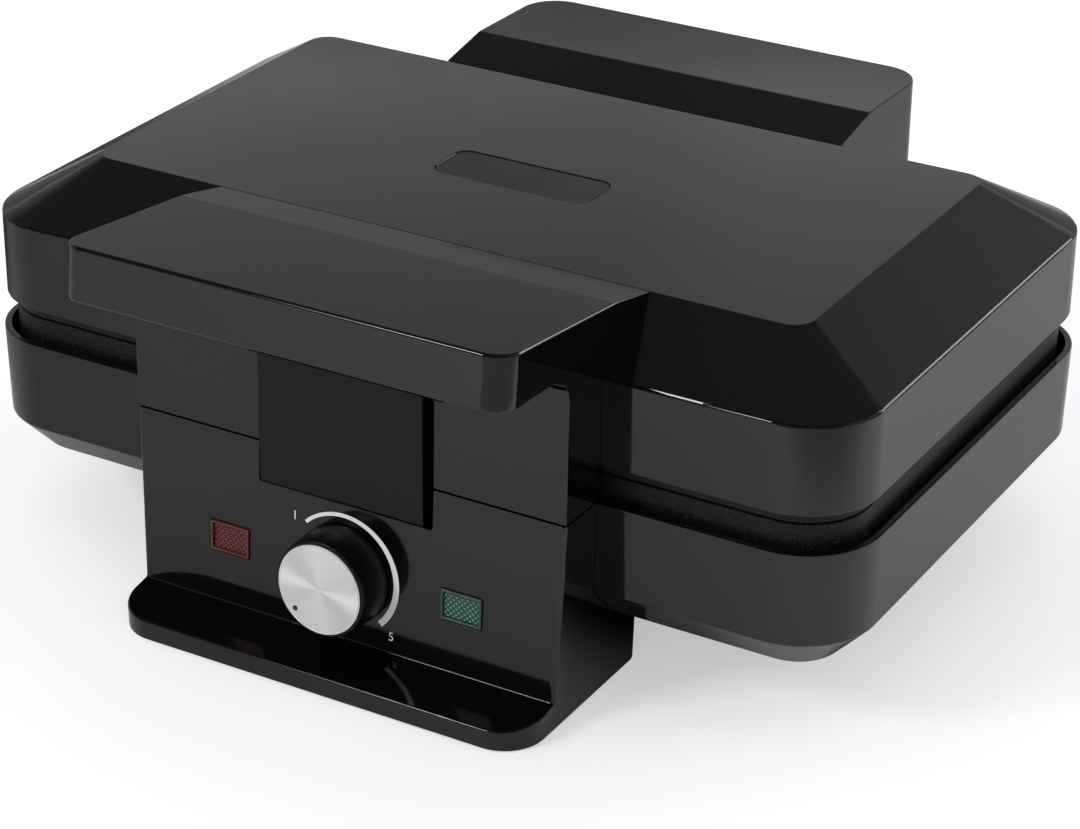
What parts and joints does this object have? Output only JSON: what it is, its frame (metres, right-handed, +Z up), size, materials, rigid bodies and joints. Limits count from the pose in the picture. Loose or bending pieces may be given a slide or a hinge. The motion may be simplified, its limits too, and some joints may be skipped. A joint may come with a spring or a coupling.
{
  "type": "waffle maker",
  "caption": "Waffle maker for two waffles: bevelled black lid on a rear hinge over a tray, latch under the front handle, and a thermostat knob and pilot lamps in the front stand.",
  "frame": {"origin": "bottom centre of the closed waffle maker's bounding box, on the surface that it stands on", "axes": "+X to the user's right, +Y from the handle to the rear hinge, +Z up"},
  "size_m": [0.3434, 0.3112, 0.1503],
  "materials": {
    "gloss_black": "glossy moulded",
    "satin_black": "satin moulded",
    "nonstick_plate": "non-stick coated",
    "aluminium": "spun",
    "steel": "zinc plated",
    "nylon": "natural",
    "ceramic": "unglazed",
    "rubber": "matte",
    "red_lens": "translucent",
    "green_lens": "translucent",
    "glass": "clear"
  },
  "bodies": {
    "base": {"lower_housing": "gloss_black", "lower_cooking_plate": "nonstick_plate", "lower_plate_screws": "steel", "lower_heating_element": "steel", "lower_element_clamps": "steel", "lower_heat_reflector": "aluminium", "thermal_cutout": "ceramic", "front_stand": "gloss_black", "rear_stand": "gloss_black", "front_base_cover": "satin_black", "rear_base_cover": "satin_black", "base_screws": "steel", "rubber_feet": "rubber", "hinge_pin": "steel", "hinge_washers": "nylon", "hinge_clips": "steel", "thermostat_bracket": "steel", "thermostat_body": "ceramic", "thermostat_screws": "steel", "red_lamp_lens": "red_lens", "green_lamp_lens": "green_lens", "neon_lamps": "glass", "cord_gland": "satin_black", "terminal_block": "ceramic", "catch_plate": "steel"},
    "lid": {"upper_housing": "gloss_black", "badge_plate": "satin_black", "front_handle": "gloss_black", "rear_hood": "gloss_black", "latch_pin": "steel", "upper_cooking_plate": "nonstick_plate", "upper_plate_screws": "steel", "upper_heating_element": "steel", "upper_element_clamps": "steel", "upper_heat_reflector": "aluminium", "hinge_arms": "satin_black", "handle_screws": "steel", "hood_screws": "steel", "hinge_arm_screws": "steel"},
    "latch": {"latch_flap": "satin_black"},
    "knob": {"knob_body": "satin_black", "knob_disc": "aluminium", "thermostat_spindle": "steel"}
  },
  "joints": [
    {"name": "lid_hinge", "type": "hinge", "parent": "base", "child": "lid", "pos_m": [0, 0.13875, 0.0837], "axis": [-1, 0, 0], "range_deg": [0, 100]},
    {"name": "latch_pivot", "type": "hinge", "parent": "lid", "child": "latch", "pos_m": [0, -0.11355, 0.1083], "axis": [-1, 0, 0], "range_deg": [0, 40]},
    {"name": "knob_turn", "type": "hinge", "parent": "base", "child": "knob", "pos_m": [0, -0.1176, 0.0355], "axis": [0, 0.9987, -0.0511], "range_deg": [0, 270]}
  ]
}
